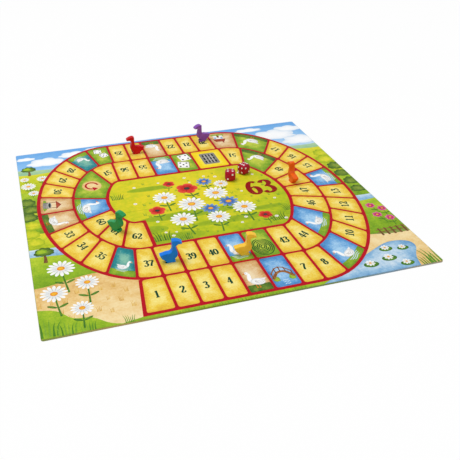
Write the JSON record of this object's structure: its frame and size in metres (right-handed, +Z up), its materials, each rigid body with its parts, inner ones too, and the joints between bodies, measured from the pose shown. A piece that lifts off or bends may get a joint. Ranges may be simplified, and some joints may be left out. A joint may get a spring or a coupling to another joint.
{
  "type": "folding board game",
  "caption": "Flat square board game that folds along its middle, with goose-shaped pawns and rounded dice standing loose on a spiral track of spaces.",
  "frame": {"origin": "under the middle of the open board, on the surface that it lies on", "axes": "+Z up, +X to the right along the fold, +Y away from the player, towards the back edge"},
  "size_m": [0.48, 0.48, 0.032],
  "materials": {
    "print": "printed and varnished, satin",
    "core": "raw grey board",
    "lining": "plain, fine linen emboss",
    "tape": "woven book cloth",
    "red_plastic": "satin",
    "purple_plastic": "satin",
    "orange_plastic": "satin",
    "green_plastic": "satin",
    "blue_plastic": "satin",
    "yellow_plastic": "satin",
    "dice_plastic": "polished, white pips"
  },
  "bodies": {
    "front_half": {"front_print_sheet": "print", "front_core_board": "core", "front_lining_paper": "lining", "front_hinge_tape": "tape"},
    "back_half": {"back_print_sheet": "print", "back_core_board": "core", "back_lining_paper": "lining", "back_hinge_tape": "tape"},
    "red_pawn": {"red_goose": "red_plastic"},
    "purple_pawn": {"purple_goose": "purple_plastic"},
    "orange_pawn": {"orange_goose": "orange_plastic"},
    "green_pawn": {"green_goose": "green_plastic"},
    "blue_pawn": {"blue_goose": "blue_plastic"},
    "yellow_pawn": {"yellow_goose": "yellow_plastic"},
    "left_cube": {"left_die": "dice_plastic"},
    "right_cube": {"right_die": "dice_plastic"}
  },
  "joints": [
    {"name": "board_fold", "type": "hinge", "parent": "front_half", "child": "back_half", "pos_m": [0, 0, 0.002], "axis": [1, 0, 0], "range_deg": [0, 90]},
    {"name": "red_lift", "type": "slide", "parent": "back_half", "child": "red_pawn", "axis": [0, 0, 1], "range_m": [0, 0.05]},
    {"name": "purple_lift", "type": "slide", "parent": "back_half", "child": "purple_pawn", "axis": [0, 0, 1], "range_m": [0, 0.05]},
    {"name": "orange_lift", "type": "slide", "parent": "back_half", "child": "orange_pawn", "axis": [0, 0, 1], "range_m": [0, 0.05]},
    {"name": "green_lift", "type": "slide", "parent": "front_half", "child": "green_pawn", "axis": [0, 0, 1], "range_m": [0, 0.05]},
    {"name": "blue_lift", "type": "slide", "parent": "front_half", "child": "blue_pawn", "axis": [0, 0, 1], "range_m": [0, 0.05]},
    {"name": "yellow_lift", "type": "slide", "parent": "front_half", "child": "yellow_pawn", "axis": [0, 0, 1], "range_m": [0, 0.05]},
    {"name": "left_die_lift", "type": "slide", "parent": "back_half", "child": "left_cube", "axis": [0, 0, 1], "range_m": [0, 0.05]},
    {"name": "right_die_lift", "type": "slide", "parent": "back_half", "child": "right_cube", "axis": [0, 0, 1], "range_m": [0, 0.05]}
  ]
}
